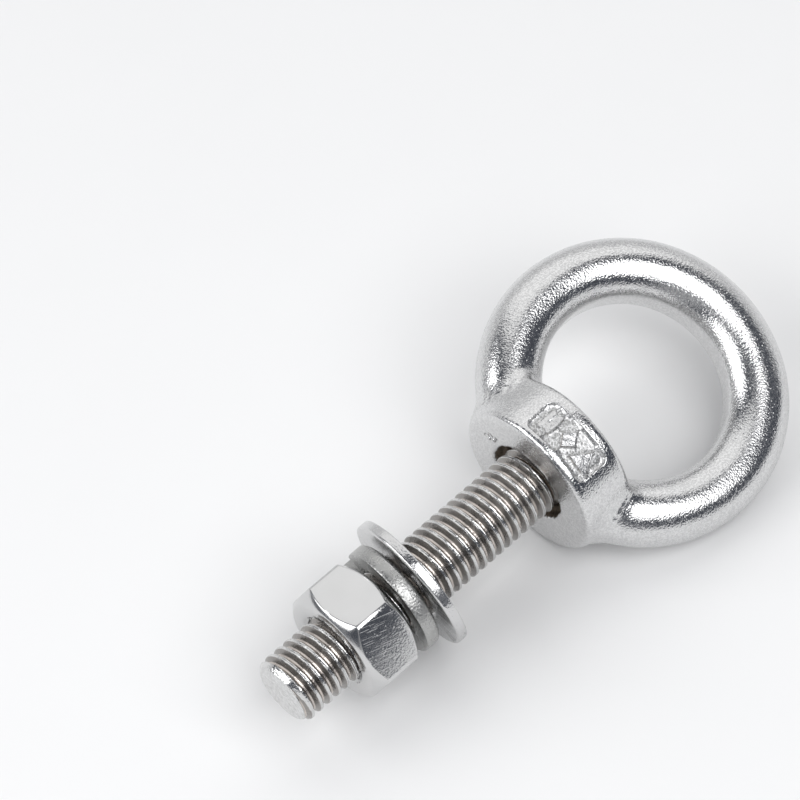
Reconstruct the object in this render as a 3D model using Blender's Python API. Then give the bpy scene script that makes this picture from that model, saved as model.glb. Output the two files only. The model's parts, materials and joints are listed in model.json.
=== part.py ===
"""Eye bolt, M8, stainless steel: a cast ring and collar on a fully threaded stud,
with its hexagon nut, spring lock washer and flat washer on the thread.

It lies on its side as it comes to rest on a bench: on the rim of the collar and one
side of the ring. +X runs along the stud towards the ring, +Z is up. Metres.
"""

import math

import bmesh
import bpy

MM = 0.001

# Eye: ring, collar and the socket in the collar's face
RING_OUTER = 35.0 * MM
RING_SECTION = 7.3 * MM
RING_HEIGHT = 16.4 * MM        # from the collar's face to the ring's centre
COLLAR_DIAMETER = 18.3 * MM
COLLAR_HEIGHT = 6.7 * MM
COLLAR_EDGE = 0.7 * MM
RECESS_DIAMETER = 9.8 * MM
RECESS_DEPTH = 1.3 * MM
SOCKET_DIAMETER = 8.5 * MM
SOCKET_DEPTH = 4.9 * MM        # from the collar's face
PANEL_LENGTH = 9.0 * MM        # the sunk marking panel on the collar's side
PANEL_WIDTH = 4.2 * MM
PANEL_DEPTH = 0.45 * MM
PANEL_MIDDLE = 3.1 * MM        # from the collar's face

# Thread, right hand
PITCH = 1.25 * MM
CREST_DIAMETER = 7.85 * MM
ROOT_DIAMETER = 6.5 * MM
CREST_FLAT = PITCH / 8
ROOT_FLAT = PITCH / 4
THREAD_PHASE = 0.25 * MM       # first crest behind the tip, on the +Y side
THREAD_STEPS = 16              # facets in one turn
NUT_THREAD_GAP = 0.16 * MM     # radial clearance of the nut's thread
STUD_LENGTH = 35.8 * MM        # from the collar's face to the tip
STUD_END_GAP = 0.3 * MM        # between the stud and the socket's floor
TIP_FACE_DIAMETER = 6.6 * MM
TIP_CHAMFER = 0.65 * MM

# Nut
NUT_ACROSS_FLATS = 12.8 * MM
NUT_HEIGHT = 6.5 * MM
NUT_FACE_DIAMETER = 12.4 * MM
NUT_CHAMFER = math.radians(30)
NUT_COUNTERSINK = 8.7 * MM
NUT_TURN = math.radians(33)    # turn of its first corner from +Y about the stud
NUT_FROM_TIP = 7.2 * MM        # outer face of the nut to the tip

# Washers, loose on the thread, so that they lean
SPRING_INNER = 8.6 * MM
SPRING_OUTER = 12.8 * MM
SPRING_THICKNESS = 1.9 * MM
SPRING_LIFT = 0.8 * MM         # how far its two cut ends stand apart along the stud
SPRING_SLIT = math.radians(14)
SPRING_SLIT_AT = math.radians(-10)
SPRING_FROM_NUT = 1.25 * MM    # nut's inner face to the washer's near face, on the axis
SPRING_LEAN = math.radians(6.3)
FLAT_INNER = 8.8 * MM
FLAT_OUTER = 16.0 * MM
FLAT_THICKNESS = 1.2 * MM
FLAT_FROM_NUT = 4.3 * MM
FLAT_LEAN = math.radians(9.1)

STEEL = (0.62, 0.62, 0.61, 1.0)
ROLLED_STEEL = (0.46, 0.44, 0.42, 1.0)

# Places along the stud, from the ring's centre
SEAT_X = -RING_HEIGHT
TIP_X = SEAT_X - STUD_LENGTH
NUT_OUTER_X = TIP_X + NUT_FROM_TIP
NUT_INNER_X = NUT_OUTER_X + NUT_HEIGHT

RING_RADIUS = (RING_OUTER - RING_SECTION) / 2
COLLAR_RADIUS = COLLAR_DIAMETER / 2
# The roll at which the ring's side touches the bench that the collar's rim stands on
ROLL = math.asin((COLLAR_RADIUS - RING_SECTION / 2) / RING_RADIUS)


def material(name, colour, roughness):
    mat = bpy.data.materials.new(name)
    mat.use_nodes = True
    shader = mat.node_tree.nodes["Principled BSDF"]
    shader.inputs["Base Color"].default_value = colour
    shader.inputs["Metallic"].default_value = 1.0
    shader.inputs["Roughness"].default_value = roughness
    return mat


def piece(name, bm, mat=None, sharp=35):
    """An object on the stud's axis, made from a bmesh."""
    bmesh.ops.recalc_face_normals(bm, faces=bm.faces)
    mesh = bpy.data.meshes.new(name)
    bm.to_mesh(mesh)
    bm.free()
    mesh.shade_smooth()
    mesh.set_sharp_from_angle(angle=math.radians(sharp))
    obj = bpy.data.objects.new(name, mesh)
    bpy.context.scene.collection.objects.link(obj)
    obj.parent = bolt
    if mat:
        mesh.materials.append(mat)
    else:
        obj.hide_render = True
        obj.display_type = "WIRE"
    return obj


def turned(profile, steps):
    """A solid turned about X from (x, radius) points that start and end on the axis,
    or that close on themselves for a ring."""
    bm = bmesh.new()
    points = [bm.verts.new((x, r, 0)) for x, r in profile]
    edges = [bm.edges.new(pair) for pair in zip(points, points[1:])]
    if profile[0][1] > 0:
        edges.append(bm.edges.new((points[-1], points[0])))
    bmesh.ops.spin(bm, geom=points + edges, cent=(0, 0, 0), axis=(1, 0, 0),
                   angle=2 * math.pi, steps=steps, use_merge=True)
    bmesh.ops.remove_doubles(bm, verts=bm.verts, dist=1e-7)
    return bm


def rod_profile(x0, x1, radius):
    return [(x0, 0), (x0, radius), (x1, radius), (x1, 0)]


def threaded_rod(x0, x1, crest_radius, root_radius):
    """A rod with a right-hand thread, closed by a fan at each end. It reaches at least
    from x0 to x1, and its crests keep the phase that is counted from the stud's tip."""
    slope = (PITCH - CREST_FLAT - ROOT_FLAT) / 2
    outline = [(0, crest_radius), (CREST_FLAT, crest_radius),
               (CREST_FLAT + slope, root_radius),
               (CREST_FLAT + slope + ROOT_FLAT, root_radius)]
    corners = len(outline)
    first = math.floor((x0 - TIP_X - THREAD_PHASE) / PITCH) - 2
    last = math.ceil((x1 - TIP_X - THREAD_PHASE) / PITCH) + 1
    origin = TIP_X + THREAD_PHASE - CREST_FLAT / 2

    bm = bmesh.new()

    def vertex(row, step):
        along, radius = outline[row % corners]
        turns = first + row // corners + step / THREAD_STEPS
        angle = 2 * math.pi * step / THREAD_STEPS
        return bm.verts.new((origin + along + turns * PITCH,
                             radius * math.cos(angle), radius * math.sin(angle)))

    rows = corners * (last - first)
    grid = [[vertex(row, step) for step in range(THREAD_STEPS)] for row in range(rows + 1)]
    grid += [[vertex(row, 0)] for row in range(rows + 1, rows + corners + 1)]

    def corner(row, step):
        """The seam: one turn further on, the same line is a pitch ahead."""
        return grid[row][step] if step < THREAD_STEPS else grid[row + corners][0]

    for row in range(rows):
        for step in range(THREAD_STEPS):
            bm.faces.new((corner(row, step), corner(row, step + 1),
                          corner(row + 1, step + 1), corner(row + 1, step)))
    for row in (0, rows):
        rim = [corner(row, step) for step in range(THREAD_STEPS + 1)]
        rim += [grid[row + back][0] for back in range(corners - 1, 0, -1)]
        middle = bm.verts.new((sum(v.co.x for v in rim) / len(rim), 0, 0))
        for here, after in zip(rim, rim[1:] + rim[:1]):
            bm.faces.new((here, after, middle))
    return bm


def boolean(obj, operation, *tools):
    for tool in tools:
        mod = obj.modifiers.new(f"{operation} {tool.name}", "BOOLEAN")
        mod.operation = operation
        mod.object = tool
        mod.solver = "EXACT"


for old in list(bpy.data.objects):
    bpy.data.objects.remove(old, do_unlink=True)

bolt = bpy.data.objects.new("bolt_axis", None)
bpy.context.scene.collection.objects.link(bolt)
bolt.location = (-(TIP_X + RING_OUTER / 2) / 2, 0, COLLAR_RADIUS)
bolt.rotation_euler = (ROLL, 0, 0)

cast_steel = material("cast_steel", STEEL, 0.22)
rolled_steel = material("rolled_steel", ROLLED_STEEL, 0.3)
nut_steel = material("nut_steel", STEEL, 0.25)
washer_steel = material("washer_steel", STEEL, 0.28)


# Eye: ring and collar are one casting, with a blind socket for the stud
ring = bmesh.new()
section = bmesh.ops.create_circle(ring, cap_ends=False, radius=RING_SECTION / 2, segments=20)
for vert in section["verts"]:
    vert.co = (RING_RADIUS + vert.co.x, 0, vert.co.y)
bmesh.ops.spin(ring, geom=ring.verts[:] + ring.edges[:], cent=(0, 0, 0), axis=(0, 0, 1),
               angle=2 * math.pi, steps=56, use_merge=True)
bmesh.ops.remove_doubles(ring, verts=ring.verts, dist=1e-7)
eye = piece("eye", ring, cast_steel)

below_seat = bmesh.new()
bmesh.ops.create_cube(below_seat, size=RING_OUTER)
for vert in below_seat.verts:
    vert.co.x += SEAT_X - RING_OUTER / 2
cut_below_seat = piece("cut_below_seat", below_seat)

collar_back_x = SEAT_X + COLLAR_HEIGHT
collar = piece("collar_blank", turned([
    (SEAT_X, 0),
    (SEAT_X, COLLAR_RADIUS - COLLAR_EDGE / 2),
    (SEAT_X + COLLAR_EDGE / 6, COLLAR_RADIUS - COLLAR_EDGE / 6),
    (SEAT_X + COLLAR_EDGE / 2, COLLAR_RADIUS),
    (collar_back_x - COLLAR_EDGE, COLLAR_RADIUS),
    (collar_back_x - COLLAR_EDGE / 3, COLLAR_RADIUS - COLLAR_EDGE / 3),
    (collar_back_x, COLLAR_RADIUS - COLLAR_EDGE),
    (collar_back_x, 0),
], 48))

outside_seat = SEAT_X - RECESS_DEPTH
socket = piece("socket_cutter", turned([
    (outside_seat, 0),
    (outside_seat, RECESS_DIAMETER / 2),
    (SEAT_X + RECESS_DEPTH, RECESS_DIAMETER / 2),
    (SEAT_X + RECESS_DEPTH, SOCKET_DIAMETER / 2),
    (SEAT_X + SOCKET_DEPTH, SOCKET_DIAMETER / 2),
    (SEAT_X + SOCKET_DEPTH, 0),
], 32))

panel_blank = bmesh.new()
bmesh.ops.create_cube(panel_blank, size=1)
for vert in panel_blank.verts:
    vert.co = (SEAT_X + PANEL_MIDDLE + vert.co.x * PANEL_WIDTH, vert.co.y * PANEL_LENGTH,
               COLLAR_RADIUS * (1 + vert.co.z))
panel = piece("panel_cutter", panel_blank)
panel_floor = piece("panel_floor", turned(rod_profile(
    SEAT_X, collar_back_x, COLLAR_RADIUS - PANEL_DEPTH), 48))
boolean(panel, "DIFFERENCE", panel_floor)

boolean(eye, "DIFFERENCE", cut_below_seat)
boolean(eye, "UNION", collar)
boolean(eye, "DIFFERENCE", socket, panel)


# Stud: one length of rolled thread, chamfered at its tip, screwed into the socket
stud_end_x = SEAT_X + SOCKET_DEPTH - STUD_END_GAP
stud_outline = piece("stud_outline", turned([
    (TIP_X, 0),
    (TIP_X, TIP_FACE_DIAMETER / 2),
    (TIP_X + TIP_CHAMFER, TIP_FACE_DIAMETER / 2 + TIP_CHAMFER),
    (stud_end_x, TIP_FACE_DIAMETER / 2 + TIP_CHAMFER),
    (stud_end_x, 0),
], 32))
threaded_stud = piece("threaded_stud", threaded_rod(
    TIP_X, stud_end_x, CREST_DIAMETER / 2, ROOT_DIAMETER / 2), rolled_steel)
boolean(threaded_stud, "INTERSECT", stud_outline)


# Nut: a hexagon with both faces chamfered, tapped to run on the stud's thread
corner_radius = NUT_ACROSS_FLATS / math.sqrt(3)
hexagon = bmesh.new()
bmesh.ops.create_cone(hexagon, cap_ends=True, segments=6, radius1=corner_radius,
                      radius2=corner_radius, depth=NUT_HEIGHT)
for vert in hexagon.verts:
    angle = math.atan2(vert.co.y, vert.co.x) - math.pi / 2 + NUT_TURN
    end_x = NUT_INNER_X if vert.co.z > 0 else NUT_OUTER_X
    vert.co = (end_x, corner_radius * math.cos(angle), corner_radius * math.sin(angle))
hex_nut = piece("hex_nut", hexagon, nut_steel)

nut_face_radius = NUT_FACE_DIAMETER / 2
corner_reach = 1.2 * corner_radius - nut_face_radius
nut_chamfers = piece("nut_chamfers", turned([
    (NUT_OUTER_X, 0),
    (NUT_OUTER_X, nut_face_radius),
    (NUT_OUTER_X + corner_reach * math.tan(NUT_CHAMFER), nut_face_radius + corner_reach),
    (NUT_INNER_X - corner_reach * math.tan(NUT_CHAMFER), nut_face_radius + corner_reach),
    (NUT_INNER_X, nut_face_radius),
    (NUT_INNER_X, 0),
], 48))
nut_tap = piece("nut_tap", threaded_rod(
    NUT_OUTER_X, NUT_INNER_X,
    CREST_DIAMETER / 2 + NUT_THREAD_GAP, ROOT_DIAMETER / 2 + NUT_THREAD_GAP))
sink_radius = NUT_COUNTERSINK / 2
sink_past = 0.5 * MM
for name, face_x, inward in (("outer_countersink", NUT_OUTER_X, 1),
                             ("inner_countersink", NUT_INNER_X, -1)):
    cone = [(face_x + inward * sink_radius, 0),
            (face_x - inward * sink_past, sink_radius + sink_past),
            (face_x - inward * sink_past, 0)]
    piece(name, turned(cone, 32))
boolean(hex_nut, "INTERSECT", nut_chamfers)
boolean(hex_nut, "DIFFERENCE", nut_tap, bpy.data.objects["outer_countersink"],
        bpy.data.objects["inner_countersink"])


# Spring lock washer: one square left-hand coil, cut through, its ends sprung apart
def spring_washer_mesh():
    bm = bmesh.new()
    steps = 40
    rings = []
    for step in range(steps + 1):
        done = step / steps
        angle = SPRING_SLIT_AT + SPRING_SLIT / 2 + done * (2 * math.pi - SPRING_SLIT)
        middle = (0.5 - done) * SPRING_LIFT
        corners = ((-1, SPRING_INNER), (-1, SPRING_OUTER), (1, SPRING_OUTER), (1, SPRING_INNER))
        rings.append([bm.verts.new((middle + side * SPRING_THICKNESS / 2,
                                    diameter / 2 * math.cos(angle),
                                    diameter / 2 * math.sin(angle)))
                      for side, diameter in corners])
    for here, after in zip(rings, rings[1:]):
        for k in range(4):
            bm.faces.new((here[k], here[(k + 1) % 4], after[(k + 1) % 4], after[k]))
    bm.faces.new(rings[0])
    bm.faces.new(rings[-1][::-1])
    return bm


def lean(obj, x, angle):
    """Stands a washer at x on the stud, its upper side tipped towards the nut."""
    obj.location = (x, 0, 0)
    obj.rotation_euler = (0, -angle, 0)


spring_washer = piece("spring_washer", spring_washer_mesh(), washer_steel)
lean(spring_washer, NUT_INNER_X + SPRING_FROM_NUT + SPRING_THICKNESS / 2, SPRING_LEAN)
edges_off = spring_washer.modifiers.new("edges", "BEVEL")
edges_off.width = 0.12 * MM
edges_off.segments = 1
edges_off.limit_method = "ANGLE"

# Flat washer: punched, its rim a little rounded
half = FLAT_THICKNESS / 2
rim = FLAT_OUTER / 2
break_edge = 0.25 * MM
flat_washer = piece("flat_washer", turned([
    (-half, FLAT_INNER / 2),
    (-half, rim - break_edge),
    (-half + break_edge, rim),
    (half - break_edge, rim),
    (half, rim - break_edge),
    (half, FLAT_INNER / 2),
], 44), washer_steel)
lean(flat_washer, NUT_INNER_X + FLAT_FROM_NUT + half, FLAT_LEAN)
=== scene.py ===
"""An M8 stainless eye bolt with its nut, spring washer and flat washer, as a finished
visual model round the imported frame. Metres, +Z up, +X along the stud to the ring.
"""
import json
import math

import bpy
import numpy as np
from mathutils import Matrix, Vector


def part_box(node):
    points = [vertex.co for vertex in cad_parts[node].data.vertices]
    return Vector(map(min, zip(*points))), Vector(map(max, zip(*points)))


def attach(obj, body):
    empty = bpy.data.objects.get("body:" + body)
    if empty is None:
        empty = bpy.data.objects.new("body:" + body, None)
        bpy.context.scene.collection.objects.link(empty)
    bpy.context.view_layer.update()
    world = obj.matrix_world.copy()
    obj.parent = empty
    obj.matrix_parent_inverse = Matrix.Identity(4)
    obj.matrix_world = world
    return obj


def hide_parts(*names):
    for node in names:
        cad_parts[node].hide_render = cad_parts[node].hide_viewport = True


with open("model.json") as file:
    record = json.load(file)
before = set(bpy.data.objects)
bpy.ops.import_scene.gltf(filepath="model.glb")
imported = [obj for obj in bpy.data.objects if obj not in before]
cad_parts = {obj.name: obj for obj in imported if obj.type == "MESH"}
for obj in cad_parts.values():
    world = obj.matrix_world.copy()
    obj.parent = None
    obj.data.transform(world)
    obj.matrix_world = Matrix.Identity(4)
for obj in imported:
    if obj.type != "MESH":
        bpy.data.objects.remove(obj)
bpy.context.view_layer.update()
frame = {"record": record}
bpy.ops.object.select_all(action="DESELECT")


# ---------------------------------------------------------------------------
# Eye: an investment casting in 1.4301 steel, ring and collar in one, tumbled and then
# polished. The collar's face is turned true, and has a cored pocket, left as cast, round
# the stud. A sunk panel on the collar's side carries raised marks.
# ---------------------------------------------------------------------------

MM = 0.001
RING_OUTER = 35.0
RING_SECTION = 7.3
COLLAR_HEIGHT = 6.7
FILLET = 1.7                # blend from ring to collar
CREASE_REACH = 1.3          # the blend is rough this far to each side
CREASE_ROUGHNESS = 0.05
BORE_LAND = 0.2             # how far the ring's bore is flattened
BORE_EDGE = 0.1
SEAT_EDGE = 0.8
BACK_EDGE = 0.75
POCKET_RADIUS = 4.75
POCKET_DEPTH = 1.3
POCKET_LIP = 0.3
POCKET_RAGGED = 0.10        # how uneven the cored wall is
SOCKET_RADIUS = 4.25
SOCKET_DEPTH = 4.9
PANEL_HALF = (4.5, 2.1)     # round the collar, and along the stud
PANEL_CORNER = 0.85
PANEL_DEPTH = 0.45
PANEL_MIDDLE = 3.1
PANEL_LIP = 0.16
PANEL_RAGGED = 0.05
MARK_SPACING = 2.75
MARK_SUNK = 0.06            # the marks' tops, below the collar's side
MARK_FOOT = 0.08            # blend from the marks to the floor
# flaws in the collar's face: angle, radius, size, and 1 for a pit or -1 for a bead
FACE_FLAWS = ((11, 6.3, 0.42, 1), (17, 5.7, 0.26, 1), (4, 6.7, 0.24, 1),
              (12, 5.75, 0.3, -1), (5, 6.15, 0.22, -1))
FLAW_LEVEL = 0.06
FLAW_EDGE = 0.12
EYE_VOXEL = 0.29
SWELL = 0.018               # the casting's shallow swells, and the finer ones on them
FINE_SWELL = 0.004
POCKET_ROUGHNESS = 0.07
FOOT_SHADE_REACH = 0.13          # how far the painted shade spreads from a corner of the panel

mounts = {mount["name"]: Vector(mount["pos_m"]) for mount in frame["record"]["mounts"]}
axis_z = mounts["stud_tip"].z
seat_x = mounts["collar_seat"].x
collar_radius = axis_z / MM
ring_radius = (RING_OUTER - RING_SECTION) / 2
section_radius = RING_SECTION / 2
ring_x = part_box("eye")[1].x - RING_OUTER / 2 * MM
seat = (seat_x - ring_x) / MM
roll = math.asin((collar_radius - section_radius) / ring_radius)
# The bolt's own frame: its origin at the ring's centre, +X along the stud, +Z square to
# the ring. Forms are worked out in it, in millimetres.
bolt_place = Matrix.Translation((ring_x, 0, axis_z)) @ Matrix.Rotation(roll, 4, "X")


def only(obj):
    """Makes obj the one selected and active object."""
    bpy.ops.object.select_all(action="DESELECT")
    obj.select_set(True)
    bpy.context.view_layer.objects.active = obj


def apply_modifier(obj, kind, **settings):
    only(obj)
    modifier = obj.modifiers.new(kind.lower(), kind)
    for name, value in settings.items():
        setattr(modifier, name, value)
    bpy.ops.object.modifier_apply(modifier=modifier.name)


def cut(obj, operation, *tools):
    """Joins, cuts or trims obj with each tool, and throws the tool away."""
    for tool in tools:
        apply_modifier(obj, "BOOLEAN", operation=operation, object=tool, solver="MANIFOLD")
        bpy.data.objects.remove(tool, do_unlink=True)


def seated(obj, name):
    """Gives obj its name, and moves its place and turn into its mesh."""
    only(obj)
    bpy.ops.object.transform_apply(location=True, rotation=True, scale=True)
    obj.name = name
    obj.data.name = name
    return obj


def soft_min(a, b, width):
    """The lesser of two distances, with the crease between them filled."""
    share = np.clip(0.5 + 0.5 * (b - a) / width, 0, 1)
    return b + (a - b) * share - width * share * (1 - share)


def soft_max(a, b, width):
    return -soft_min(-a, -b, width)


def uneven(points, size, seed=0.0):
    """A smooth unevenness from about -1 to 1, whose swells are about size apart."""
    x, y, z = (points * (2 * math.pi / size)).T
    return (np.sin(0.83 * x + 0.47 * y + 0.31 * z + seed)
            + np.sin(-0.52 * x + 0.88 * y + 0.41 * z + 2.1 * seed + 1.3)
            + np.sin(0.35 * x - 0.45 * y + 0.92 * z + 1.7 * seed + 2.6)
            + np.sin(1.31 * x + 1.12 * y - 1.26 * z + 0.9 * seed + 4.1)) / 3


def stroke(u, v, start, end, half_width):
    """Distance from a straight raised stroke with round ends."""
    along = np.array(end, float) - np.array(start, float)
    reach = ((u - start[0]) * along[0] + (v - start[1]) * along[1]) / (along @ along)
    reach = np.clip(reach, 0, 1)
    return np.hypot(u - start[0] - reach * along[0], v - start[1] - reach * along[1]) - half_width


def panel_marks(u, v):
    """Plain raised marks in the panel: two bars, a lozenge and a wedge."""
    left = u + MARK_SPACING
    bars = np.minimum(stroke(left, v, (-0.5, -1.0), (-0.5, 1.0), 0.27),
                      stroke(left, v, (0.5, -1.0), (0.5, 1.0), 0.27))
    lozenge = (np.abs(u) * 1.25 + np.abs(v) - 1.15) / 1.6
    right = u - MARK_SPACING
    wedge = np.maximum(np.abs(right) * 0.87 + v * 0.5 - 0.6, -v - 1.15)
    return np.minimum.reduce([bars, lozenge, wedge])


def eye_form(points):
    """How far each point stands outside the casting's surface, in millimetres."""
    x, y, z = points.T
    rim = np.hypot(x, y)
    from_axis = np.hypot(y, z)
    ring = np.hypot(rim - ring_radius, z) - section_radius
    ring = soft_max(ring, ring_radius - section_radius + BORE_LAND - rim, BORE_EDGE)

    side = from_axis - collar_radius + BACK_EDGE
    back = x - seat - COLLAR_HEIGHT + BACK_EDGE
    collar = (np.hypot(np.maximum(side, 0), np.maximum(back, 0))
              + np.minimum(np.maximum(side, back), 0) - BACK_EDGE)
    crease = CREASE_ROUGHNESS * np.clip(1 - np.abs(ring - collar) / CREASE_REACH, 0, 1)
    form = soft_min(ring, collar, FILLET) + crease * uneven(points, 0.9, 11.0)
    form = soft_max(form, seat - x, SEAT_EDGE)

    ragged = POCKET_RAGGED * uneven(points, 2.3, 1.0)
    pocket = np.maximum(from_axis - POCKET_RADIUS + ragged, x - seat - POCKET_DEPTH)
    socket = np.maximum(from_axis - SOCKET_RADIUS, x - seat - SOCKET_DEPTH)
    form = soft_max(form, -np.minimum(pocket, socket), POCKET_LIP)

    around = (np.arctan2(z, y) - math.pi / 2) * collar_radius
    along = x - seat - PANEL_MIDDLE
    wobble = PANEL_RAGGED * uneven(points, 1.6, 3.0)
    reach_u = np.abs(around) - PANEL_HALF[0] + PANEL_CORNER
    reach_v = np.abs(along) - PANEL_HALF[1] + PANEL_CORNER
    outline = (np.hypot(np.maximum(reach_u, 0), np.maximum(reach_v, 0))
               + np.minimum(np.maximum(reach_u, reach_v), 0) - PANEL_CORNER + wobble)
    floor = collar_radius - PANEL_DEPTH + 0.008 * uneven(points, 0.9, 2.0)
    form = soft_max(form, -np.maximum(outline, floor - from_axis), PANEL_LIP)
    top = from_axis - collar_radius + MARK_SUNK + 0.012 * uneven(points, 1.1, 5.0)
    marks = np.maximum.reduce([
        panel_marks(around, along) + 0.6 * wobble, top, floor - 0.5 - from_axis])
    form = soft_min(form, marks, MARK_FOOT)

    for angle, radius, size, sign in FACE_FLAWS:
        angle = math.radians(angle)
        centre = np.array([seat + FLAW_LEVEL, radius * math.cos(angle), radius * math.sin(angle)])
        ball = np.linalg.norm(points - centre, axis=1) - size
        if sign > 0:
            form = soft_max(form, -ball, FLAW_EDGE)
        else:
            form = soft_min(form, ball, FLAW_EDGE)
    return form


def to_frame(flat, place):
    """A flat list of coordinates in metres, as points in place's frame, in millimetres."""
    back = np.array(place.inverted())
    return (flat.reshape(-1, 3).astype(float) @ back[:3, :3].T + back[:3, 3]) / MM


def read_points(obj, place):
    points = np.empty(len(obj.data.vertices) * 3, np.float32)
    obj.data.vertices.foreach_get("co", points)
    return to_frame(points, place)


def write_points(obj, place, points):
    """Puts the mesh's points where read_points would read them."""
    out = np.array(place)
    points = (points * MM) @ out[:3, :3].T + out[:3, 3]
    obj.data.vertices.foreach_set("co", points.astype(np.float32).ravel())
    obj.data.update()


def settle(points, form, rounds):
    """Moves points onto the form's surface, along its slope, a little each round."""
    step = 0.01
    least_slope = 0.2
    longest_move = 0.3
    for _ in range(rounds):
        value = form(points)
        slope = np.empty_like(points)
        for axis in range(3):
            ahead = points.copy()
            ahead[:, axis] += step
            behind = points.copy()
            behind[:, axis] -= step
            slope[:, axis] = (form(ahead) - form(behind)) / (2 * step)
        length = np.maximum((slope ** 2).sum(1), least_slope)
        move = -slope * (value / length)[:, None]
        far = np.linalg.norm(move, axis=1, keepdims=True)
        points = points + move * np.minimum(1, longest_move / np.maximum(far, 1e-9))
    return points


def refine(obj, chosen):
    """Splits each chosen face in four."""
    only(obj)
    bpy.ops.object.mode_set(mode="EDIT")
    bpy.ops.mesh.select_mode(type="FACE")
    bpy.ops.mesh.select_all(action="DESELECT")
    bpy.ops.object.mode_set(mode="OBJECT")
    obj.data.polygons.foreach_set("select", chosen)
    bpy.ops.object.mode_set(mode="EDIT")
    bpy.ops.mesh.subdivide(number_cuts=1)
    bpy.ops.object.mode_set(mode="OBJECT")


def face_middles(obj, place):
    middles = np.empty(len(obj.data.polygons) * 3, np.float32)
    obj.data.polygons.foreach_get("center", middles)
    return to_frame(middles, place)


def near_detail(points, margin, crease_reach):
    """True for points in the panel, at the flaws, or near where the ring leaves the collar."""
    x, y, z = points.T
    from_axis = np.hypot(y, z)
    around = (np.arctan2(z, y) - math.pi / 2) * collar_radius
    in_panel = ((np.abs(around) < PANEL_HALF[0] + margin) & (from_axis > collar_radius - 1)
                & (np.abs(x - seat - PANEL_MIDDLE) < PANEL_HALF[1] + margin))
    at_flaws = np.hypot(y - 6.1, z - 1.2) < 0.9 + margin
    from_ring = np.hypot(np.hypot(x, y) - ring_radius, z) - section_radius
    from_collar = from_axis - collar_radius
    crease = (np.abs(from_ring) < crease_reach) & (np.abs(from_collar) < crease_reach)
    return in_panel | (at_flaws & (x < seat + 0.4)) | crease


bpy.ops.mesh.primitive_torus_add(
    major_radius=ring_radius * MM, minor_radius=section_radius * MM,
    major_segments=180, minor_segments=64,
    location=(ring_x, 0, axis_z), rotation=(roll, 0, 0))
eye = bpy.context.object
bpy.ops.mesh.primitive_cylinder_add(
    vertices=160, radius=collar_radius * MM, depth=COLLAR_HEIGHT * MM,
    location=(seat_x + COLLAR_HEIGHT / 2 * MM, 0, axis_z), rotation=(0, math.pi / 2, 0))
collar = bpy.context.object
holes = []
for radius, depth in ((POCKET_RADIUS, POCKET_DEPTH), (SOCKET_RADIUS, SOCKET_DEPTH)):
    bpy.ops.mesh.primitive_cylinder_add(
        vertices=96, radius=radius * MM, depth=2 * depth * MM,
        location=(seat_x, 0, axis_z), rotation=(0, math.pi / 2, 0))
    holes.append(bpy.context.object)
bpy.ops.mesh.primitive_cube_add(
    size=RING_OUTER * MM, location=(seat_x - RING_OUTER / 2 * MM, 0, axis_z))
below_seat = bpy.context.object
cut(eye, "UNION", collar)
cut(eye, "DIFFERENCE", below_seat, *holes)
apply_modifier(eye, "REMESH", mode="VOXEL", voxel_size=EYE_VOXEL * MM, adaptivity=0)
seated(eye, "cast_eye")

write_points(eye, bolt_place, settle(read_points(eye, bolt_place), eye_form, 4))
for margin, crease_reach in ((0.5, 1.2), (0.35, 0)):
    refine(eye, near_detail(face_middles(eye, bolt_place), margin, crease_reach))
for _ in range(4):
    only(eye)
    bpy.ops.object.mode_set(mode="EDIT")
    bpy.ops.mesh.select_all(action="SELECT")
    bpy.ops.mesh.vertices_smooth(factor=0.4)
    bpy.ops.object.mode_set(mode="OBJECT")
    write_points(eye, bolt_place, settle(read_points(eye, bolt_place), eye_form, 3))

# The casting is never quite true: shallow swells, which the polish leaves in
points = read_points(eye, bolt_place)
normals = np.empty(len(eye.data.vertices) * 3, np.float32)
eye.data.vertices.foreach_get("normal", normals)
turn_back = np.array(bolt_place.inverted())[:3, :3]
normals = normals.reshape(-1, 3).astype(float) @ turn_back.T
swell = SWELL * (1 + uneven(points, 9.0, 0.5)) + FINE_SWELL * (1 + uneven(points, 2.2, 4.0))
from_axis = np.hypot(points[:, 1], points[:, 2])
around = (np.arctan2(points[:, 2], points[:, 1]) - math.pi / 2) * collar_radius
in_panel = ((np.abs(around) < PANEL_HALF[0] - 0.1) & (from_axis > collar_radius - 1)
            & (np.abs(points[:, 0] - seat - PANEL_MIDDLE) < PANEL_HALF[1] - 0.1))
in_pocket = (from_axis < POCKET_RADIUS + 0.15) & (points[:, 0] < seat + SOCKET_DEPTH + 1)
in_pocket &= points[:, 0] > seat + 0.12
on_face = points[:, 0] < seat + 0.05
swell[on_face] *= 0.3
rough = in_pocket * POCKET_ROUGHNESS * (1 + uneven(points, 0.8, 6.0))
write_points(eye, bolt_place, points - normals * (swell + rough)[:, None])

# the pocket keeps its as-cast scale and the panel its as-cast grit, and shade is painted into the
# corners at the feet of the marks and of the panel's wall
along = points[:, 0] - seat - PANEL_MIDDLE
from_wall = np.minimum(PANEL_HALF[0] - np.abs(around), PANEL_HALF[1] - np.abs(along))
from_foot = np.minimum(np.abs(panel_marks(around, along)), np.abs(from_wall))
# painted shade, darkest at the feet of the marks and of the panel's wall
foot_shade = np.exp(-(from_foot / FOOT_SHADE_REACH) ** 2)
foot_shade *= np.clip((collar_radius - 0.12 - from_axis) / 0.15, 0, 1)
as_cast_and_shade = eye.data.attributes.new("as_cast_and_shade", "FLOAT", "POINT")
in_panel = in_panel * np.where(from_axis < collar_radius - 0.22, 0.4, 0.22)
share = in_pocket + in_panel + 0.42 * foot_shade * (in_panel > 0)
as_cast_and_shade.data.foreach_set("value", share.astype(np.float32))
only(eye)
bpy.ops.object.shade_smooth()


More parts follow.
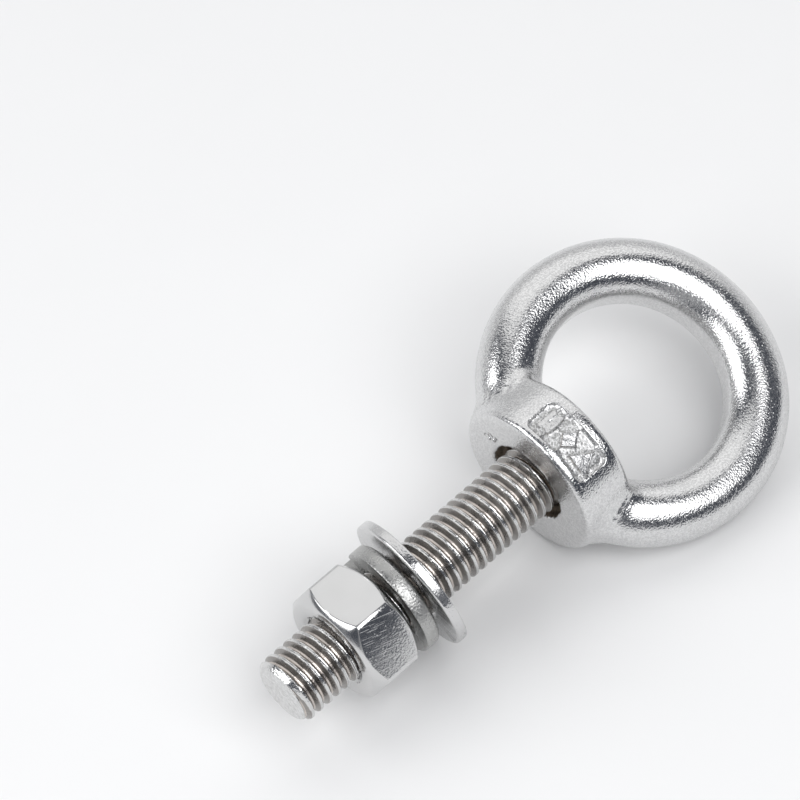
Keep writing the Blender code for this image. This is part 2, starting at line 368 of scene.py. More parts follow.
def new_group(name, inputs, outputs):
    """An empty shader node group with named sockets, and its two end nodes."""
    group = bpy.data.node_groups.new(name, "ShaderNodeTree")
    for socket, kind, value in inputs:
        made = group.interface.new_socket(socket, in_out="INPUT", socket_type=kind)
        if value is not None:
            made.default_value = value
    for socket, kind in outputs:
        group.interface.new_socket(socket, in_out="OUTPUT", socket_type=kind)
    return group, group.nodes.new("NodeGroupInput"), group.nodes.new("NodeGroupOutput")


def feed(tree, value, socket):
    """Links an output to the socket, or sets the socket to a plain value."""
    if isinstance(value, bpy.types.NodeSocket):
        tree.links.new(value, socket)
    else:
        socket.default_value = value


def add_node(tree, kind, values=None, **settings):
    """A node with its settings, and with its sockets fed by name or number."""
    node = tree.nodes.new(kind)
    for name, value in settings.items():
        setattr(node, name, value)
    for name, value in (values or {}).items():
        feed(tree, value, node.inputs[name])
    return node


def math_node(tree, operation, *values):
    return add_node(tree, "ShaderNodeMath", dict(enumerate(values)),
                    operation=operation).outputs[0]


def ramp(tree, value, low, high, bottom=0.0, top=1.0):
    """Spreads value from low..high over bottom..top."""
    return add_node(tree, "ShaderNodeMapRange", {
        "Value": value, "From Min": low, "From Max": high, "To Min": bottom, "To Max": top,
    }, interpolation_type="SMOOTHSTEP").outputs["Result"]


# Grain of a tumbled or peened surface: a fine grain, small sharp pits, and slow changes
grain, grain_in, grain_out = new_group(
    "tumbled_grain",
    [("Vector", "NodeSocketVector", None), ("Size", "NodeSocketFloat", 0.2)],
    [("Height", "NodeSocketFloat"), ("Grain", "NodeSocketFloat"), ("Pits", "NodeSocketFloat"),
     ("Cloud", "NodeSocketFloat")])
per_size = math_node(grain, "DIVIDE", 1 / MM, grain_in.outputs["Size"])
fine = add_node(grain, "ShaderNodeTexNoise", {
    "Vector": grain_in.outputs["Vector"], "Scale": per_size, "Detail": 2.0, "Roughness": 0.55})
cells = add_node(grain, "ShaderNodeTexVoronoi", {
    "Vector": grain_in.outputs["Vector"],
    "Scale": math_node(grain, "MULTIPLY", per_size, 0.55)}, feature="F1")
slow = add_node(grain, "ShaderNodeTexNoise", {
    "Vector": grain_in.outputs["Vector"],
    "Scale": math_node(grain, "MULTIPLY", per_size, 0.07), "Detail": 4.0, "Roughness": 0.6})
cell_colour = add_node(grain, "ShaderNodeSeparateColor", {"Color": cells.outputs["Color"]})
chosen = ramp(grain, cell_colour.outputs["Red"], 0.38, 0.42)
hollow = ramp(grain, cells.outputs["Distance"], 0.06, 0.2, 1.0, 0.0)
pit = math_node(grain, "MULTIPLY", chosen, hollow)
peened = add_node(grain, "ShaderNodeTexVoronoi", {
    "Vector": grain_in.outputs["Vector"], "Scale": per_size}, feature="F1")
height = math_node(grain, "MULTIPLY_ADD", peened.outputs["Distance"], 0.6, fine.outputs["Fac"])
height = math_node(grain, "MULTIPLY_ADD", pit, -0.7, height)
grain.links.new(height, grain_out.inputs["Height"])
grain.links.new(ramp(grain, fine.outputs["Fac"], 0.4, 0.62), grain_out.inputs["Grain"])
grain.links.new(pit, grain_out.inputs["Pits"])
grain.links.new(slow.outputs["Fac"], grain_out.inputs["Cloud"])


def new_material(name):
    """A steel material, its shader, and the piece's own coordinates."""
    material = bpy.data.materials.new(name)
    material.use_nodes = True
    shader = material.node_tree.nodes["Principled BSDF"]
    shader.inputs["Metallic"].default_value = 1.0
    coordinates = add_node(material.node_tree, "ShaderNodeTexCoord").outputs["Object"]
    return material, material.node_tree, shader, coordinates


def use_group(tree, group, **values):
    return add_node(tree, "ShaderNodeGroup", values, node_tree=group)


def mix_colour(tree, share, first, second):
    """A colour from first to second, as share goes from 0 to 1."""
    node = add_node(tree, "ShaderNodeMix", data_type="RGBA")
    sockets = {socket.name: socket for socket in node.inputs if socket.enabled}
    feed(tree, share, sockets["Factor"])
    feed(tree, first, sockets["A"])
    feed(tree, second, sockets["B"])
    return [socket for socket in node.outputs if socket.enabled][0]


def bump(tree, height, distance, under=None):
    """The normal of a surface that height raises by distance, over any coarser bump."""
    values = {"Height": height, "Distance": distance, "Strength": 1.0}
    if under:
        values["Normal"] = under
    return add_node(tree, "ShaderNodeBump", values).outputs["Normal"]


def coat(obj, material):
    """Gives obj the one material."""
    obj.data.materials.clear()
    obj.data.materials.append(material)


cast_steel, tree, shader, coordinates = new_material("cast_steel")
tumbled = use_group(tree, grain, Vector=coordinates, Size=0.22)
worn = use_group(tree, grain, Vector=coordinates, Size=1.3)
cast_and_shade_share = add_node(tree, "ShaderNodeAttribute", attribute_name="as_cast_and_shade").outputs["Fac"]
low_tone = mix_colour(tree, tumbled.outputs["Cloud"], (0.56, 0.56, 0.565, 1), (0.64, 0.64, 0.64, 1))
polished_tone = mix_colour(tree, tumbled.outputs["Grain"], low_tone, (0.75, 0.75, 0.75, 1))
polished_tone = mix_colour(tree, tumbled.outputs["Pits"], polished_tone, (0.85, 0.85, 0.85, 1))
grit = mix_colour(tree, tumbled.outputs["Grain"], (0.40, 0.40, 0.395, 1), (0.82, 0.82, 0.82, 1))
polished_tone = mix_colour(tree, ramp(tree, cast_and_shade_share, 0.2, 0.4), polished_tone, grit)
# dark brown: the pocket's as-cast scale, and also the painted shade at the feet of the marks and of
# the panel's wall
scale_and_shade_tone = mix_colour(tree, tumbled.outputs["Height"], (0.05, 0.04, 0.035, 1),
                        (0.38, 0.32, 0.26, 1))
scale_and_shade_share = ramp(tree, cast_and_shade_share, 0.6, 1.0)
tree.links.new(mix_colour(tree, scale_and_shade_share, polished_tone, scale_and_shade_tone), shader.inputs["Base Color"])
satin = ramp(tree, worn.outputs["Cloud"], 0.35, 0.68, 0.09, 0.15)
satin = math_node(tree, "MULTIPLY_ADD", tumbled.outputs["Grain"], 0.11, satin)
satin = math_node(tree, "MULTIPLY_ADD", tumbled.outputs["Pits"], 0.3, satin)
tree.links.new(math_node(tree, "MULTIPLY_ADD", cast_and_shade_share, 0.6, satin), shader.inputs["Roughness"])
fine_bump = bump(tree, tumbled.outputs["Height"], 0.026 * MM)
tree.links.new(bump(tree, worn.outputs["Height"], 0.008 * MM, under=fine_bump),
               shader.inputs["Normal"])
coat(eye, cast_steel)

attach(eye, "root")
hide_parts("eye")


# ---------------------------------------------------------------------------
# Stud: one length of cold-rolled M8 thread, right hand, with a sheared and chamfered
# tip, screwed into the collar. Rolling leaves bright, torn crests. The flanks are painted a
# dark warm grey, as painted reflection of the dark round them, and the roots a warm light
# grey, as painted reflection of the light the threads throw on each other.
# ---------------------------------------------------------------------------

PITCH = 1.25
CREST_RADIUS = 3.925
ROOT_RADIUS = 3.33
# half of one thread: distance from the middle of the crest, and share of its height; the
# two folds that rolling raises never quite meet on the crest
HALF_THREAD = ((0.0, 0.965), (0.025, 0.98), (0.05, 1.0), (0.145, 1.0), (0.175, 0.93),
               (0.335, 0.5), (0.49, 0.07), (0.53, 0.01), (0.625, 0.0))
THREAD_PHASE = 0.25     # the first crest on +Y, from the tip
THREAD_STEPS = 112
TIP_RADIUS = 3.3
TIP_CHAMFER = 0.65
BLANK_ALLOWANCE = 0.03  # clears the crests, so that the blank trims only the ends
STUD_END = 4.6          # inside the collar, from its face

tip = (mounts["stud_tip"].x - ring_x) / MM


def bolt_matrix(x, lean=0.0):
    """Places a thing modelled round the origin at x on the stud, leaning back."""
    return bolt_place @ Matrix.Translation((x * MM, 0, 0)) @ Matrix.Rotation(-lean, 4, "Y")


def drawn_line(corners, closed):
    """A line through (x, radius) corners in millimetres, ready to be turned round X."""
    bpy.ops.mesh.primitive_circle_add(vertices=len(corners), radius=MM)
    line = bpy.context.object
    only(line)
    for vertex, (x, radius) in zip(line.data.vertices, corners):
        vertex.co = (x * MM, radius * MM, 0)
    if not closed:
        bpy.ops.object.mode_set(mode="EDIT")
        bpy.ops.mesh.select_mode(type="EDGE")
        bpy.ops.mesh.select_all(action="DESELECT")
        bpy.ops.object.mode_set(mode="OBJECT")
        for edge in line.data.edges:
            edge.select = set(edge.vertices) == {0, len(corners) - 1}
        bpy.ops.object.mode_set(mode="EDIT")
        bpy.ops.mesh.delete(type="EDGE_FACE")
        bpy.ops.object.mode_set(mode="OBJECT")
    return line


def threaded_bar(start, length, crest, root, steps):
    """A closed bar of thread that covers start to start + length, on the stud's helix."""
    first = math.floor((start - tip - THREAD_PHASE) / PITCH) - 1
    turns = math.ceil(length / PITCH) + 3
    profile = [(-along, share) for along, share in HALF_THREAD[:0:-1]] + list(HALF_THREAD)
    bar = drawn_line([(along, root + share * (crest - root)) for along, share in profile],
                     closed=False)
    apply_modifier(bar, "SCREW", axis="X", angle=2 * math.pi, screw_offset=PITCH * MM,
                   iterations=turns, steps=steps, render_steps=steps,
                   use_merge_vertices=True, merge_threshold=1e-6, use_smooth_shade=True)
    bar.matrix_world = bolt_matrix(tip + THREAD_PHASE + first * PITCH)
    only(bar)
    bpy.ops.object.mode_set(mode="EDIT")
    bpy.ops.mesh.select_all(action="SELECT")
    bpy.ops.mesh.remove_doubles(threshold=1e-6)
    bpy.ops.mesh.select_mode(type="EDGE")
    middle = (turns / 2 - 0.5) * PITCH * MM
    for end in (-1, 1):
        bpy.ops.mesh.select_all(action="DESELECT")
        bpy.ops.mesh.select_non_manifold()
        bpy.ops.object.mode_set(mode="OBJECT")
        for edge in bar.data.edges:
            edge.select &= (bar.data.vertices[edge.vertices[0]].co.x - middle) * end > 0
        for vertex in bar.data.vertices:
            vertex.select = False
        bpy.ops.object.mode_set(mode="EDIT")
        bpy.ops.mesh.extrude_edges_move()
        bpy.ops.mesh.merge(type="CENTER")
    bpy.ops.mesh.select_all(action="SELECT")
    bpy.ops.mesh.normals_make_consistent(inside=False)
    bpy.ops.object.mode_set(mode="OBJECT")
    return bar


def turned(outline, steps, place):
    """A solid spun round X from (x, radius) corners: open on the axis, or a closed ring."""
    blank = drawn_line(outline, closed=outline[0][1] > 0)
    bpy.ops.object.mode_set(mode="EDIT")
    bpy.ops.mesh.select_all(action="SELECT")
    bpy.ops.mesh.spin(steps=steps, angle=2 * math.pi, center=(0, 0, 0), axis=(1, 0, 0))
    bpy.ops.mesh.select_all(action="SELECT")
    bpy.ops.mesh.remove_doubles(threshold=1e-7)
    bpy.ops.mesh.normals_make_consistent(inside=False)
    bpy.ops.object.mode_set(mode="OBJECT")
    blank.matrix_world = place
    return blank


stud = threaded_bar(tip, seat + STUD_END - tip, CREST_RADIUS, ROOT_RADIUS, THREAD_STEPS)
blank_radius = CREST_RADIUS + BLANK_ALLOWANCE
cut(stud, "INTERSECT", turned([
    (tip, 0), (tip, TIP_RADIUS), (tip + TIP_CHAMFER, blank_radius),
    (seat + STUD_END, blank_radius), (seat + STUD_END, 0)], 96, bolt_place))
seated(stud, "rolled_stud")

points = read_points(stud, bolt_place)
from_axis = np.hypot(points[:, 1], points[:, 2])
height = np.clip((from_axis - ROOT_RADIUS) / (CREST_RADIUS - ROOT_RADIUS), 0, 1)
chamfer_slope = TIP_CHAMFER / (blank_radius - TIP_RADIUS)
on_tip = points[:, 0] < tip + 0.02 + np.maximum(from_axis - TIP_RADIUS, 0) * chamfer_slope
crest_share = np.clip((height - 0.8) / 0.15, 0, 1) * ~on_tip
# rolling leaves the crests torn: unevenly low, and wandering along the stud
torn = 0.03 * (1 + uneven(points, 1.9, 7.0)) * 0.5 + 0.016 * (1 + uneven(points, 0.7, 8.0)) * 0.5
shrink = 1 - crest_share * torn / np.maximum(from_axis, 0.1)
points[:, 1:] *= shrink[:, None]
points[:, 0] += crest_share * (0.03 * uneven(points, 1.1, 9.0) + 0.02 * uneven(points, 0.45, 10.0))
write_points(stud, bolt_place, points)
# how far up the thread each point is; the tip is bare metal, as a crest is
up_thread = stud.data.attributes.new("up_thread", "FLOAT", "POINT")
height = np.where(on_tip, 1.3, height) + 0.7 * (points[:, 0] < tip + 0.02)
up_thread.data.foreach_set("value", height.astype(np.float32))
only(stud)
bpy.ops.object.shade_smooth_by_angle(angle=math.radians(35))

rolled_steel, tree, shader, coordinates = new_material("rolled_steel")
rolled = use_group(tree, grain, Vector=coordinates, Size=0.2)
up_thread = add_node(tree, "ShaderNodeAttribute", attribute_name="up_thread").outputs["Fac"]
# the flanks' dark tone is painted reflection of the dark round them, with random changes
flank_tone = mix_colour(tree, rolled.outputs["Cloud"], (0.23, 0.219, 0.209, 1),
                        (0.37, 0.353, 0.337, 1))
off_root = ramp(tree, up_thread, 0.02, 0.1)
on_crest = ramp(tree, up_thread, 0.86, 0.97)
# the roots' warm light tone is painted reflection of the light the threads throw on each other
low_tone = mix_colour(tree, off_root, (0.60, 0.55, 0.51, 1), flank_tone)
sheared = use_group(tree, grain, Vector=coordinates, Size=0.4)
on_tip = ramp(tree, up_thread, 1.5, 1.9)
sheared_tone = mix_colour(tree, sheared.outputs["Grain"], (0.58, 0.58, 0.575, 1),
                          (0.75, 0.75, 0.75, 1))
bare_tone = mix_colour(tree, on_tip, (0.66, 0.66, 0.655, 1), sheared_tone)
tree.links.new(mix_colour(tree, on_crest, low_tone, bare_tone), shader.inputs["Base Color"])
dull = ramp(tree, rolled.outputs["Cloud"], 0.3, 0.7, 0.24, 0.32)
tree.links.new(math_node(tree, "MULTIPLY_ADD", on_crest, -0.14, dull), shader.inputs["Roughness"])
torn_tip = math_node(tree, "MULTIPLY", sheared.outputs["Height"], on_tip)
tip_bump = bump(tree, torn_tip, 0.06 * MM)
tree.links.new(bump(tree, rolled.outputs["Height"], 0.022 * MM, under=tip_bump),
               shader.inputs["Normal"])
coat(stud, rolled_steel)

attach(stud, "root")
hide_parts("threaded_stud")


# ---------------------------------------------------------------------------
# Nut: a cold-formed M8 hexagon nut, both faces chamfered, countersunk and tapped. Its
# flats keep the marks of the bar and of other nuts in the barrel.
# ---------------------------------------------------------------------------

NUT_FACE_RADIUS = 5.95
NUT_CHAMFER = math.radians(42)
NUT_SINK_RADIUS = 4.35
NUT_TURN = math.radians(33)
NUT_ACROSS_FLATS = 12.8
NUT_CORNER = 0.42           # the bar's rounded corners
NUT_CLEARANCE = 0.16        # of its thread on the stud's
NUT_THREAD_STEPS = 64
NUT_BURR = 0.11
FLAT_MARKS = (0.12, 1.0, 0.5, 0.8, 0.35, 0.6)
SCRATCH_SLANT = 18

nut_low, nut_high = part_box("hex_nut")
nut_outer = (nut_low.x - ring_x) / MM
nut_inner = (nut_high.x - ring_x) / MM
nut_height = nut_inner - nut_outer
corner = NUT_ACROSS_FLATS / math.sqrt(3)

bpy.ops.mesh.primitive_cylinder_add(vertices=6, radius=corner * MM, depth=nut_height * MM)
nut = bpy.context.object
only(nut)
# the cylinder's first corner is on its local +Y, and stands at NUT_TURN on the bolt
nut.matrix_world = (bolt_matrix((nut_outer + nut_inner) / 2) @ Matrix.Rotation(NUT_TURN, 4, "X")
                    @ Matrix.Rotation(math.pi / 2, 4, "Y"))
apply_modifier(nut, "BEVEL", width=NUT_CORNER * MM, segments=5, limit_method="ANGLE",
               angle_limit=math.radians(50))
reach = corner + 1 - NUT_FACE_RADIUS
drop = reach * math.tan(NUT_CHAMFER)
cut(nut, "INTERSECT", turned([
    (nut_outer, 0), (nut_outer, NUT_FACE_RADIUS), (nut_outer + drop, NUT_FACE_RADIUS + reach),
    (nut_inner - drop, NUT_FACE_RADIUS + reach), (nut_inner, NUT_FACE_RADIUS), (nut_inner, 0)],
    144, bolt_place))
for face, inward in ((nut_outer, 1), (nut_inner, -1)):
    cut(nut, "DIFFERENCE", turned([
        (face + inward * NUT_SINK_RADIUS, 0), (face - inward * 0.5, NUT_SINK_RADIUS + 0.5),
        (face - inward * 0.5, 0)], 96, bolt_place))
apply_modifier(nut, "BEVEL", width=NUT_BURR * MM, segments=2, limit_method="ANGLE",
               angle_limit=math.radians(25), use_clamp_overlap=False)
cut(nut, "DIFFERENCE", threaded_bar(
    nut_outer, nut_height, CREST_RADIUS + NUT_CLEARANCE, ROOT_RADIUS + NUT_CLEARANCE,
    NUT_THREAD_STEPS))
seated(nut, "hexagon_nut")
only(nut)
bpy.ops.object.shade_smooth_by_angle(angle=math.radians(24))

# each flat took its marks in its own strength, a little aslant of the bar
normals = np.empty(len(nut.data.polygons) * 3, np.float32)
nut.data.polygons.foreach_get("normal", normals)
normals = normals.reshape(-1, 3)
face_turn = np.arctan2(normals[:, 2], normals[:, 1]) - roll - NUT_TURN
flat_number = np.round(np.degrees(face_turn) / 60 - 0.5).astype(int) % 6
on_flat = np.abs(normals[:, 0]) < 0.1
strength = np.array(FLAT_MARKS)[flat_number] * on_flat
slant = np.radians(SCRATCH_SLANT) * on_flat
across = np.stack([0 * normals[:, 1], -normals[:, 2], normals[:, 1]], axis=1)
ways = across * np.sin(slant)[:, None] + np.cos(slant)[:, None] * np.array([1.0, 0, 0])
scratched = nut.data.attributes.new("scratched", "FLOAT", "FACE")
scratched.data.foreach_set("value", strength.astype(np.float32))
scratch_way = nut.data.attributes.new("scratch_way", "FLOAT_VECTOR", "FACE")
scratch_way.data.foreach_set("vector", ways.astype(np.float32).ravel())

# Hairlines: scratches or drawing marks, long in the direction that Along gives
hairlines, lines_in, lines_out = new_group(
    "hairlines",
    [("Vector", "NodeSocketVector", None), ("Along", "NodeSocketVector", (1, 0, 0)),
     ("Length", "NodeSocketFloat", 4.0), ("Width", "NodeSocketFloat", 0.06)],
    [("Height", "NodeSocketFloat"), ("Scratches", "NodeSocketFloat")])
per_length = math_node(hairlines, "DIVIDE", 1 / MM, lines_in.outputs["Length"])
per_width = math_node(hairlines, "DIVIDE", 1 / MM, lines_in.outputs["Width"])
reach = add_node(hairlines, "ShaderNodeVectorMath", {
    0: lines_in.outputs["Vector"], 1: lines_in.outputs["Along"]}, operation="DOT_PRODUCT")
squeeze = math_node(hairlines, "MULTIPLY", reach.outputs["Value"],
                    math_node(hairlines, "SUBTRACT", per_length, per_width))
lengthwise = add_node(hairlines, "ShaderNodeVectorMath", {
    0: lines_in.outputs["Along"], "Scale": squeeze}, operation="SCALE")
crosswise = add_node(hairlines, "ShaderNodeVectorMath", {
    0: lines_in.outputs["Vector"], "Scale": per_width}, operation="SCALE")
stretched = add_node(hairlines, "ShaderNodeVectorMath", {
    0: lengthwise.outputs["Vector"], 1: crosswise.outputs["Vector"]}, operation="ADD")
streaks = add_node(hairlines, "ShaderNodeTexNoise", {
    "Vector": stretched.outputs["Vector"], "Scale": 1.0, "Detail": 2.0, "Roughness": 0.5})
hairlines.links.new(streaks.outputs["Fac"], lines_out.inputs["Height"])
hairlines.links.new(ramp(hairlines, streaks.outputs["Fac"], 0.6, 0.72),
                    lines_out.inputs["Scratches"])

nut_steel, tree, shader, coordinates = new_material("nut_steel")
barrel = use_group(tree, grain, Vector=coordinates, Size=0.25)
way = add_node(tree, "ShaderNodeAttribute", attribute_name="scratch_way").outputs["Vector"]
marked = add_node(tree, "ShaderNodeAttribute", attribute_name="scratched").outputs["Fac"]
drawn = use_group(tree, hairlines, Vector=coordinates, Along=way, Length=3.0, Width=0.1)
lines = math_node(tree, "MULTIPLY", drawn.outputs["Scratches"], marked)
nut_tone = mix_colour(tree, barrel.outputs["Cloud"], (0.58, 0.58, 0.58, 1), (0.68, 0.68, 0.68, 1))
tree.links.new(mix_colour(tree, lines, nut_tone, (0.78, 0.78, 0.78, 1)),
               shader.inputs["Base Color"])
shine = ramp(tree, barrel.outputs["Cloud"], 0.3, 0.7, 0.14, 0.2)
speckle = math_node(tree, "MULTIPLY", barrel.outputs["Pits"], marked)
shine = math_node(tree, "MULTIPLY_ADD", speckle, 0.3, shine)
tree.links.new(math_node(tree, "MULTIPLY_ADD", lines, 0.2, shine), shader.inputs["Roughness"])
scratched = bump(tree, lines, 0.003 * MM)
pitted = math_node(tree, "MULTIPLY", barrel.outputs["Height"],
                   math_node(tree, "MULTIPLY_ADD", marked, 0.7, 0.3))
tree.links.new(bump(tree, pitted, 0.011 * MM, under=scratched), shader.inputs["Normal"])
coat(nut, nut_steel)

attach(nut, "nut_body")
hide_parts("hex_nut")


# ---------------------------------------------------------------------------
# Spring washer: one left-hand coil of drawn, nearly square wire, cut through and sprung
# open. It hangs loose on the thread, leaning.
# ---------------------------------------------------------------------------

SPRING_INNER = 4.3
SPRING_OUTER = 6.4
SPRING_THICKNESS = 1.9
SPRING_LIFT = 0.8
SPRING_SLIT = math.radians(14)
SPRING_SLIT_AT = math.radians(-10)
SPRING_FROM_NUT = 1.25
SPRING_LEAN = math.radians(6.3)
SPRING_STEPS = 150

half_thick = SPRING_THICKNESS / 2
# the wire's section, from the nut's side round: x, and radius
section = [(-half_thick, SPRING_INNER + 0.25), (-half_thick, SPRING_OUTER - 0.16),
           (-half_thick + 0.05, SPRING_OUTER - 0.05), (-half_thick + 0.16, SPRING_OUTER),
           (-0.2, SPRING_OUTER), (half_thick - 0.42, SPRING_OUTER),
           (half_thick - 0.36, SPRING_OUTER - 0.03), (half_thick - 0.08, SPRING_OUTER - 0.3),
           (half_thick, SPRING_OUTER - 0.42), (half_thick, SPRING_INNER + 0.25),
           (half_thick - 0.08, SPRING_INNER + 0.06), (half_thick - 0.25, SPRING_INNER),
           (-half_thick + 0.25, SPRING_INNER), (-half_thick + 0.08, SPRING_INNER + 0.06)]
spring = drawn_line([(x + SPRING_LIFT / 2, radius) for x, radius in section], closed=True)
apply_modifier(spring, "SCREW", axis="X", angle=2 * math.pi - SPRING_SLIT,
               screw_offset=-SPRING_LIFT * MM, iterations=1, steps=SPRING_STEPS,
               render_steps=SPRING_STEPS, use_merge_vertices=False, use_smooth_shade=True)
only(spring)
bpy.ops.object.mode_set(mode="EDIT")
bpy.ops.mesh.select_mode(type="EDGE")
bpy.ops.mesh.select_all(action="DESELECT")
bpy.ops.mesh.select_non_manifold()
bpy.ops.mesh.edge_face_add()
bpy.ops.mesh.select_all(action="SELECT")
bpy.ops.mesh.normals_make_consistent(inside=False)
bpy.ops.object.mode_set(mode="OBJECT")
spring.matrix_world = (bolt_matrix(nut_inner + SPRING_FROM_NUT + half_thick, SPRING_LEAN)
                       @ Matrix.Rotation(SPRING_SLIT_AT + SPRING_SLIT / 2, 4, "X"))
seated(spring, "sprung_washer")
only(spring)
bpy.ops.object.shade_smooth_by_angle(angle=math.radians(35))

spring_steel, tree, shader, coordinates = new_material("spring_washer_steel")
wire = use_group(tree, grain, Vector=coordinates, Size=0.24)
rolled_flat = use_group(tree, grain, Vector=coordinates, Size=1.2)
wire_tone = mix_colour(tree, wire.outputs["Cloud"], (0.36, 0.36, 0.355, 1), (0.52, 0.52, 0.51, 1))
tree.links.new(mix_colour(tree, wire.outputs["Pits"], wire_tone, (0.7, 0.7, 0.7, 1)),
               shader.inputs["Base Color"])
dull = ramp(tree, wire.outputs["Cloud"], 0.35, 0.65, 0.22, 0.34)
tree.links.new(math_node(tree, "MULTIPLY_ADD", wire.outputs["Grain"], 0.12, dull),
               shader.inputs["Roughness"])
wire_bump = bump(tree, wire.outputs["Height"], 0.04 * MM)
tree.links.new(bump(tree, rolled_flat.outputs["Height"], 0.012 * MM, under=wire_bump),
               shader.inputs["Normal"])
coat(spring, spring_steel)

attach(spring, "spring_washer_body")
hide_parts("spring_washer")


# ---------------------------------------------------------------------------
# Flat washer: punched from 1.2 mm sheet. The punch side is drawn round, the rim is
# sheared bright over part of its height and broken rough over the rest.
# ---------------------------------------------------------------------------

FLAT_INNER = 4.4
FLAT_OUTER = 8.0
FLAT_THICKNESS = 1.2
FLAT_LEAN = math.radians(9.1)
FLAT_DRAWN_EDGE = 0.3       # radius of the edge that the punch drew in
FLAT_STEPS = 320
# knurled patches that the strip's feed rolls left on the rim: middle, and half length
FEED_MARKS = ((76, 4), (119, 14), (-20, 10), (-95, 6), (-150, 12))

flat_low, flat_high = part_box("flat_washer")
flat_x = ((flat_low.x + flat_high.x) / 2 - ring_x) / MM
half = FLAT_THICKNESS / 2
outline = [(-half, FLAT_INNER + 0.1), (-half, FLAT_OUTER - FLAT_DRAWN_EDGE)]
outline += [(-half + FLAT_DRAWN_EDGE * (1 - math.cos(a)),
             FLAT_OUTER - FLAT_DRAWN_EDGE * (1 - math.sin(a)))
            for a in np.radians((18, 36, 54, 72, 90))]
outline += [(x, FLAT_OUTER) for x in np.linspace(-0.2, half - 0.12, 6)]
outline += [(half - 0.04, FLAT_OUTER - 0.04), (half, FLAT_OUTER - 0.12), (half, FLAT_INNER + 0.1),
            (half - 0.1, FLAT_INNER), (-half + 0.1, FLAT_INNER)]
flat_place = bolt_matrix(flat_x, FLAT_LEAN)
flat = turned(outline, FLAT_STEPS, flat_place)
local = read_points(flat, flat_place)
turn_angle = np.degrees(np.arctan2(local[:, 2], local[:, 1]))
rim_share = (np.hypot(local[:, 1], local[:, 2]) > FLAT_OUTER - 0.14) * (local[:, 0] > -0.35)
for middle, reach in FEED_MARKS:
    patch = np.clip((reach - np.abs((turn_angle - middle + 180) % 360 - 180)) / 2, 0, 1) * rim_share
    bite = patch * (0.06 + 0.06 * np.sign(uneven(local, 0.5, 12.0)))
    local[:, 1:] *= (1 - bite / FLAT_OUTER)[:, None]
write_points(flat, flat_place, local)
seated(flat, "punched_washer")
only(flat)
bpy.ops.object.shade_smooth_by_angle(angle=math.radians(40))

flat_steel, tree, shader, coordinates = new_material("flat_washer_steel")
sheet_grain = use_group(tree, grain, Vector=coordinates, Size=0.25)
tree.links.new(mix_colour(tree, sheet_grain.outputs["Cloud"], (0.58, 0.58, 0.58, 1),
                          (0.70, 0.70, 0.70, 1)), shader.inputs["Base Color"])
tree.links.new(ramp(tree, sheet_grain.outputs["Cloud"], 0.35, 0.65, 0.13, 0.24),
               shader.inputs["Roughness"])
tree.links.new(bump(tree, sheet_grain.outputs["Height"], 0.018 * MM), shader.inputs["Normal"])
coat(flat, flat_steel)

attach(flat, "flat_washer_body")
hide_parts("flat_washer")


# ---------------------------------------------------------------------------
# The set: a pale matt table, two softboxes, and a white reflector and dark gaps between
# them, painted into the world for the steel to mirror. A long lens looks down at 54
# degrees.
# ---------------------------------------------------------------------------

# panels painted into the world, in degrees: azimuth, half width, lowest, highest and
# softness, and then brightness
PANELS = (
    (44, 48, 24, 80, 6, 0.95),      # white reflector
    (-138, 16, -5, 66, 8, 0.3),     # behind the camera
    (-170, 16, 50, 78, 8, 0.22),
    (150, 35, -10, 14, 8, 0.06),
    (50, 70, -10, 24, 8, 0.6),
)
LENS = 151.3
CAMERA_AT = Vector((-0.1336, -0.1501, 0.3052))

bpy.ops.mesh.primitive_circle_add(
    vertices=96, radius=2.5, fill_type="NGON", location=(0, 0, -0.0001))
table = bpy.context.object
table.name = "table"
table_top, tree, shader, coordinates = new_material("table_top")
shader.inputs["Metallic"].default_value = 0.0
shader.inputs["Roughness"].default_value = 0.9
shader.inputs["Specular IOR Level"].default_value = 0.1
paper = use_group(tree, grain, Vector=coordinates, Size=2.0)
paper_tone = mix_colour(tree, paper.outputs["Cloud"], (0.84, 0.84, 0.84, 1),
                        (0.86, 0.86, 0.86, 1))
tree.links.new(paper_tone, shader.inputs["Base Color"])
coat(table, table_top)


def towards(azimuth, elevation):
    azimuth = math.radians(azimuth)
    elevation = math.radians(elevation)
    return Vector((math.cos(azimuth) * math.cos(elevation), math.sin(azimuth) * math.cos(elevation),
                   math.sin(elevation)))


def softbox(name, azimuth, elevation, width, height, distance, radiance):
    """A lit rectangle that faces the bolt; its own brightness is given, not its power."""
    light = bpy.data.lights.new(name, "AREA")
    light.shape = "RECTANGLE"
    light.size = 2 * distance * math.tan(math.radians(width / 2))
    light.size_y = 2 * distance * math.tan(math.radians(height / 2))
    light.energy = radiance * math.pi * light.size * light.size_y
    lamp = bpy.data.objects.new(name, light)
    bpy.context.scene.collection.objects.link(lamp)
    direction = towards(azimuth, elevation)
    lamp.location = direction * distance
    lamp.rotation_euler = direction.to_track_quat("Z", "Y").to_euler()
    return lamp


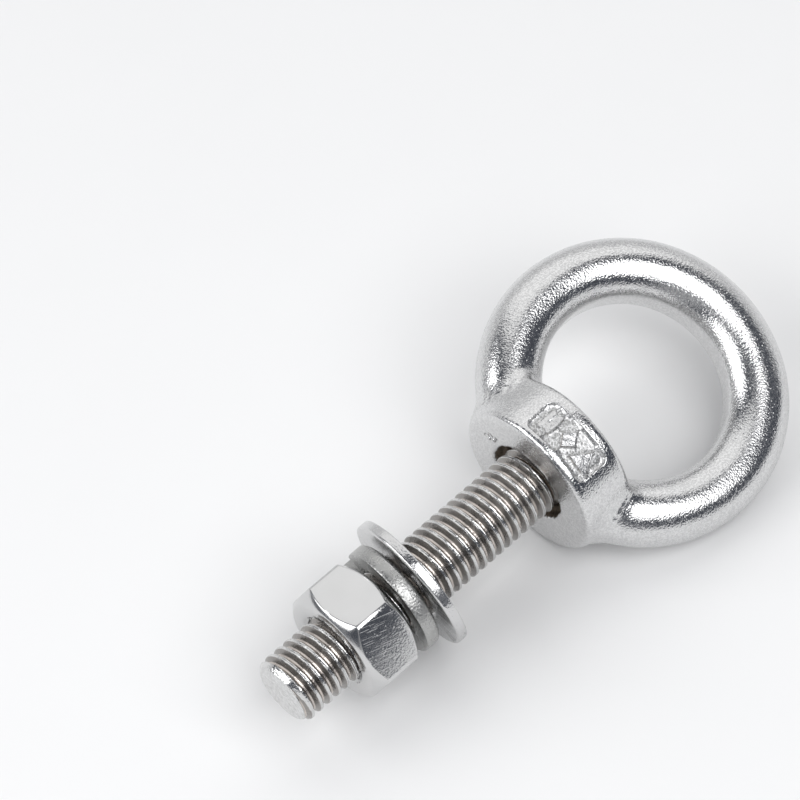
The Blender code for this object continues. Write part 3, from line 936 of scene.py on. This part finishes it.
softbox("key_softbox", -88, 55, 42, 44, 0.9, 3.2)
softbox("side_softbox", 154, 37, 54, 36, 0.9, 3.0)

world = bpy.data.worlds.new("studio")
world.use_nodes = True
bpy.context.scene.world = world
tree = world.node_tree
background = tree.nodes["Background"]
direction = add_node(tree, "ShaderNodeSeparateXYZ", {
    "Vector": add_node(tree, "ShaderNodeTexCoord").outputs["Generated"]})
azimuth = math_node(tree, "ARCTAN2", direction.outputs["Y"], direction.outputs["X"])
elevation = math_node(tree, "ARCSINE", direction.outputs["Z"])
brightness = 0.0
for middle, half_width, low, high, soft, level in PANELS:
    offset = math_node(tree, "WRAP", math_node(tree, "SUBTRACT", azimuth, math.radians(middle)),
                       math.pi, -math.pi)
    sideways = math_node(tree, "ABSOLUTE", offset)
    inside = ramp(tree, sideways, math.radians(half_width - soft / 2),
                  math.radians(half_width + soft / 2), 1.0, 0.0)
    above = ramp(tree, elevation, math.radians(low - soft / 2), math.radians(low + soft / 2))
    below = ramp(tree, elevation, math.radians(high - soft / 2),
                 math.radians(high + soft / 2), 1.0, 0.0)
    share = math_node(tree, "MULTIPLY", inside, math_node(tree, "MULTIPLY", above, below))
    difference = math_node(tree, "SUBTRACT", level, brightness)
    brightness = math_node(tree, "MULTIPLY_ADD", difference, share, brightness)
tree.links.new(mix_colour(tree, brightness, (0.083, 0.09, 0.108, 1), (1.15, 1.15, 1.15, 1)),
               background.inputs["Color"])

camera_data = bpy.data.cameras.new("camera")
camera_data.sensor_width = 36
camera_data.lens = LENS
camera = bpy.data.objects.new("camera", camera_data)
bpy.context.scene.collection.objects.link(camera)
right = Vector((0.71534, -0.69498, -0.07282))
up = Vector((0.59663, 0.55321, 0.58138))
behind = Vector((-0.36376, -0.45933, 0.81038))
camera.matrix_world = Matrix((
    (right.x, up.x, behind.x, CAMERA_AT.x), (right.y, up.y, behind.y, CAMERA_AT.y),
    (right.z, up.z, behind.z, CAMERA_AT.z), (0, 0, 0, 1)))
bpy.context.scene.camera = camera
bpy.context.scene.view_settings.view_transform = "Standard"
